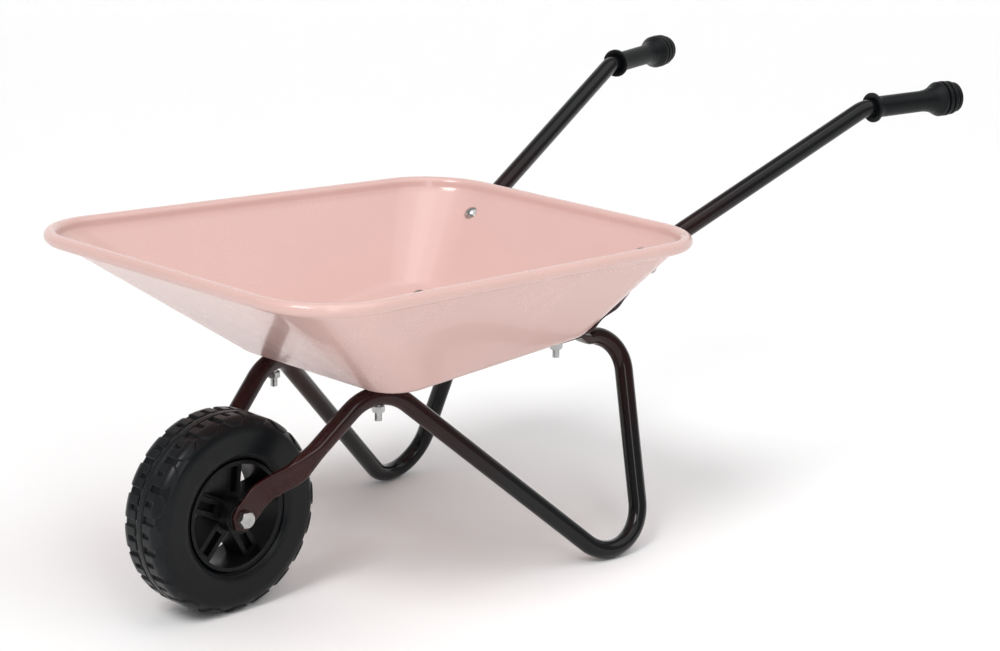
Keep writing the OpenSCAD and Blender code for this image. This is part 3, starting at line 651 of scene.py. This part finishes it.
# ---------------------------------------------------------------- grips
def revolve(profile, origin, axis, around=96):
    """Surface of revolution: profile rows are (distance along the axis, radius)."""
    axis = unit(axis)
    e1 = unit(np.cross(axis, arr(0, 0, 1) if abs(axis[2]) < 0.9 else arr(1, 0, 0)))
    e2 = np.cross(axis, e1)
    u = np.linspace(0, 2 * np.pi, around, endpoint=False)
    ring = e1 * np.cos(u)[:, None] + e2 * np.sin(u)[:, None]
    profile = np.asarray(profile, float)
    return origin + profile[:, :1, None] * axis + profile[:, 1:, None] * ring[None]


def rounded_profile(points, radius, per=5):
    """A profile with each inner corner rounded by a quadratic curve within `radius` of it."""
    p = [arr(*q) for q in points]
    out = [p[0]]
    for i in range(1, len(p) - 1):
        a, c, b = p[i - 1], p[i], p[i + 1]
        la, lb = np.linalg.norm(a - c), np.linalg.norm(b - c)
        r = min(radius, la * 0.45, lb * 0.45)
        s, e = c + (a - c) / la * r, c + (b - c) / lb * r
        for t in np.linspace(0, 1, per):
            out.append(s * (1 - t) ** 2 + 2 * c * t * (1 - t) + e * t * t)
    out.append(p[-1])
    return out


def build_grip(side):
    """Flange, straight hand part, flared neck and a domed knob with turned rings."""
    length, r, k, bore_r, bore = 100.0, 9.6, 16.0, 8.06, 80.0
    axis = unit(arr(1, SPLAY * side, GRIP_RISE))
    origin = arr(GRIP_X, handle_y(GRIP_X) * side, GRIP_Z) + axis * 9
    prof = [(0, bore_r), (0, r + 3.6), (0.8, r + 3.9), (2.8, r + 3.9), (4.4, r + 2.4),
            (6.6, r + 0.5), (9.5, r), (length - 41, r), (length - 35, r + 0.7),
            (length - 29, r + 2.4), (length - 24.8, k - 1.6), (length - 22.6, k - 0.4),
            (length - 21.8, k - 0.1), (length - 19.8, k - 0.1), (length - 19.4, k - 0.7),
            (length - 19.3, k - 3.9), (length - 17.4, k - 3.9)]
    for start, end, full in ((17.2, 13.3, k), (11.2, 7.2, k - 0.5), (5.0, 1.2, k - 2.2)):
        prof += [(length - start, full - 0.7), (length - start + 0.6, full),
                 (length - end - 0.6, full), (length - end, full - 0.7)]
        if end > 5:
            prof += [(length - end + 0.1, full - 3.9), (length - end + 2.0, full - 4.1)]
    prof += [(length - 0.7, k - 4.5), (length - 0.1, k - 8.0)]
    prof = rounded_profile(prof, 0.3) + [(length, 0.4)]
    pts = revolve(prof, origin, axis)
    rows, cols = pts.shape[:2]
    flat = pts.reshape(-1, 3)
    tip, inner_end = origin + axis * length, origin + axis * bore
    inner = revolve([(bore, bore_r)], origin, axis)[0]
    all_pts = np.concatenate([flat, tip[None], inner, inner_end[None]])
    j = np.arange(cols)
    j2 = (j + 1) % cols
    tip_at, inner_at = len(flat), len(flat) + 1
    bore_wall = np.stack([inner_at + j, inner_at + j2, j2, j], -1)
    faces = [grid_faces(rows, cols, close_cols=True), fan(tip_at, j + (rows - 1) * cols),
             bore_wall, fan(inner_at + cols, inner_at + j, flip=True)]
    mesh_piece(f"grip_{SIDES[side]}", all_pts, faces, "frame", M_GRIP,
               replaces=(f"{SIDES[side]}_grip",))


for side in (1, -1):
    build_grip(side)


# ---------------------------------------------------------------- tyre
def build_tyre():
    """The tyre as one grid: around the axle by across the section.

    v is the distance across the tread from its middle, measured over the shoulder. The surface is
    the plain section pushed out along its own normal by the greatest of three heights: the middle
    rib, the blocks (a product of smooth steps along the tread and across it, their outer ends
    tapered and a slot cut in from the rib) and the ground between blocks, which starts as a deep
    pocket beside the rib and rises to meet the blocks on the shoulder.
    """
    wheel_r, half, shoulder, tread, mouth_r = 82.5, 25.0, 11.5, 2.4, 46.6
    base = wheel_r - tread
    n_around, blocks, ribs = 1120, 20, 224
    turn = half - shoulder
    # section points from one opening to the middle as (radius, across, v, normal angle)
    lip = [(mouth_r, 18.0), (49.2, 18.4), (50.2, 19.2), (50.3, 20.4), (48.9, 21.0), (48.8, 22.0),
           (50.6, 22.5), (51.2, 23.4), (52.0, 24.4), (53.6, 24.9), (57, 24.95), (61, 25), (65, 25)]
    sec = [(r, y, 99.0, math.pi / 2) for r, y in lip]
    for t in np.linspace(math.pi / 2, 0, 34):
        sec.append((base - shoulder + shoulder * math.cos(t), turn + shoulder * math.sin(t),
                    turn + shoulder * t, t))
    # closer together where the blocks' ends and the rib's edges fall
    for y in (13.2, 12.9, 12.6, 12.2, 11.5, 10.6, 9.6, 8.8, 7.8, 6.8, 6.0,
              5.5, 5.1, 4.8, 4.5, 4.2, 3.9, 3.6, 3.3, 2.4, 1.2):
        sec.append((base, y, y, 0.0))
    mirror = [(r, -y, v, -t) for r, y, v, t in sec[::-1]]
    sec = np.array(sec + [(base, 0.0, 0.0, 0.0)] + mirror)
    r0, y0, v, nt = sec.T
    th = np.linspace(0, 2 * np.pi, n_around, endpoint=False)
    step = 2 * np.pi / blocks
    # stretches of v over which a feature starts or ends
    rib_edge, block_in, block_out, slot_in = (3.2, 3.7), (4.5, 5.1), (23.0, 23.6), (12.9, 13.6)
    ground_rise, shoulder_drop = (14.5, 18.5), (16.0, 23.0)
    block_taper, wall_fade = (18.0, 23.4), (23.5, 29.5)
    block_share, slot_edge = 0.385, (1.9, 2.4)
    fade = 1 - smooth_step(v, *wall_fade)
    top = (tread - 0.5 * smooth_step(v, *shoulder_drop)) * fade
    height = np.zeros((n_around, len(sec)))
    for sgn, off in ((-1, 0.0), (1, 0.25)):
        mine = np.sign(y0) == sgn
        phase = ((th / step - off + 0.5) % 1 - 0.5) * step * wheel_r
        long = step * wheel_r * block_share * (1 - 0.50 * smooth_step(v, *block_taper))
        along = smooth_step(long[None] - np.abs(phase)[:, None], -0.3, 0.35)
        across = smooth_step(v, *block_in) * (1 - smooth_step(v, *block_out))
        slot = (1 - smooth_step(np.abs(phase), *slot_edge))[:, None]
        slot = slot * (1 - smooth_step(v, *slot_in))[None]
        block = top[None] * along * across[None] * (1 - 0.9 * slot)
        ground = (top - 1.3 * fade) * smooth_step(v, *ground_rise)
        h = np.maximum(block, np.maximum(ground, 0)[None])
        height += h * mine[None]
    rib = 1 - smooth_step(v, *rib_edge)
    ripple = 0.16 * (np.cos(th * ribs) > 0)[:, None]
    height = np.maximum(height, rib[None] * (tread - 0.05 - ripple))
    r = np.minimum(r0[None] + height * np.cos(nt)[None], wheel_r - 0.02)
    y = np.clip(y0[None] + height * np.sin(nt)[None], -half, half)
    inner = np.array([9.0, 0.0, -9.0])
    r = np.concatenate([r, np.full((n_around, 3), mouth_r)], axis=1)
    y = np.concatenate([y, np.tile(-inner, (n_around, 1))], axis=1)
    pts = np.stack([r * np.cos(th)[:, None], y, AXLE_Z + r * np.sin(th)[:, None]], -1)
    rows, cols = pts.shape[:2]
    faces = [grid_faces(rows, cols, close_rows=True, close_cols=True)]
    ob = mesh_piece("tyre_moulding", pts.reshape(-1, 3), faces, "wheel", M_TYRE,
                    replaces=("tyre",))
    worn = np.concatenate([np.clip(height / tread, 0, 1), np.zeros((rows, 3))], axis=1)
    add_point_value(ob, "worn", worn.ravel())


build_tyre()


# ---------------------------------------------------------------- floor, light and camera
CAM_AZ, CAM_EL, CAM_ROLL = -44.556, 15.473, 0.542
CAM_POS = Vector(((-1214.5 + AXLE_X) / 1000, -1.5541, 0.782))
AIM = Vector((0, 0, 0.2))


def make_stage():
    """A white floor that turns up into a wall: flat, a quarter circle of sweep_r, upright."""
    near_y, far_y, sweep_r, wall_top, half = -9.0, 6.0, 1.6, 7.0, 14.0
    bend = np.linspace(0, np.pi / 2, 24)[1:]
    flat = np.linspace(near_y, far_y, 4)
    ys = np.concatenate([flat, far_y + sweep_r * np.sin(bend), [far_y + sweep_r]])
    zs = np.concatenate([0 * flat, sweep_r - sweep_r * np.cos(bend), [wall_top]])
    pts = [(x, y, z) for y, z in zip(ys, zs) for x in (-half, half)]
    faces = [(2 * i, 2 * i + 1, 2 * i + 3, 2 * i + 2) for i in range(len(ys) - 1)]
    me = bpy.data.meshes.new("studio_floor")
    me.from_pydata(pts, [], faces)
    me.polygons.foreach_set("use_smooth", np.ones(len(faces), bool))
    ob = bpy.data.objects.new("studio_floor", me)
    bpy.context.scene.collection.objects.link(ob)
    sh = Shader("studio_white")
    sh.set(Base_Color=(0.98, 0.98, 0.98, 1), Roughness=0.9)
    me.materials.append(sh.mat)
    ob.rotation_euler = (0, 0, math.radians(CAM_AZ))


make_stage()


def towards(az, el):
    """Unit vector az degrees round from -Y towards +X, and el degrees up."""
    a, e = math.radians(az), math.radians(el)
    return Vector((math.sin(a) * math.cos(e), -math.cos(a) * math.cos(e), math.sin(e)))


def light(name, kind, az, el, power):
    """A white light that shines back along towards(az, el)."""
    data = bpy.data.lights.new(name, kind)
    data.energy = power
    ob = bpy.data.objects.new(name, data)
    bpy.context.scene.collection.objects.link(ob)
    ob.rotation_mode = "QUATERNION"
    ob.rotation_quaternion = towards(az, el).to_track_quat("Z", "Y")
    return ob


def area(name, az, el, power, dist, size):
    ob = light(name, "AREA", az, el, power)
    ob.data.shape = "RECTANGLE"
    ob.data.size, ob.data.size_y = size
    ob.location = AIM + dist * towards(az, el)


def sun(name, az, el, power, spread):
    light(name, "SUN", az, el, power).data.angle = math.radians(spread)


world = bpy.data.worlds.new("studio")
bpy.context.scene.world = world
world.use_nodes = True
world.node_tree.nodes["Background"].inputs[0].default_value = (1, 1, 1, 1)
world.node_tree.nodes["Background"].inputs[1].default_value = 0.34
sun("soft_sun", -75, 52, power=1.4, spread=22)
sun("fill_sun", 30, 60, power=0.72, spread=60)
area("front_strip", -30, 26, power=9, dist=2.4, size=(0.5, 1.8))
area("top_panel", -60, 80, power=6, dist=2.2, size=(1.6, 1.2))

cam_data = bpy.data.cameras.new("camera")
cam = bpy.data.objects.new("camera", cam_data)
bpy.context.scene.collection.objects.link(cam)
cam_data.sensor_width = 36
cam_data.lens = 92.17
cam_data.clip_start, cam_data.clip_end = 0.05, 60
turn, roll = math.radians(CAM_AZ), math.radians(CAM_ROLL)
back = towards(CAM_AZ, CAM_EL)
right = Vector((math.cos(turn), math.sin(turn), 0))
up = back.cross(right)
cam_right = right * math.cos(roll) + up * math.sin(roll)
cam_up = up * math.cos(roll) - right * math.sin(roll)
cam_turn = Matrix((cam_right, cam_up, back)).transposed()
cam.matrix_world = Matrix.Translation(CAM_POS) @ cam_turn.to_4x4()
bpy.context.scene.camera = cam
bpy.context.scene.view_settings.view_transform = "Standard"
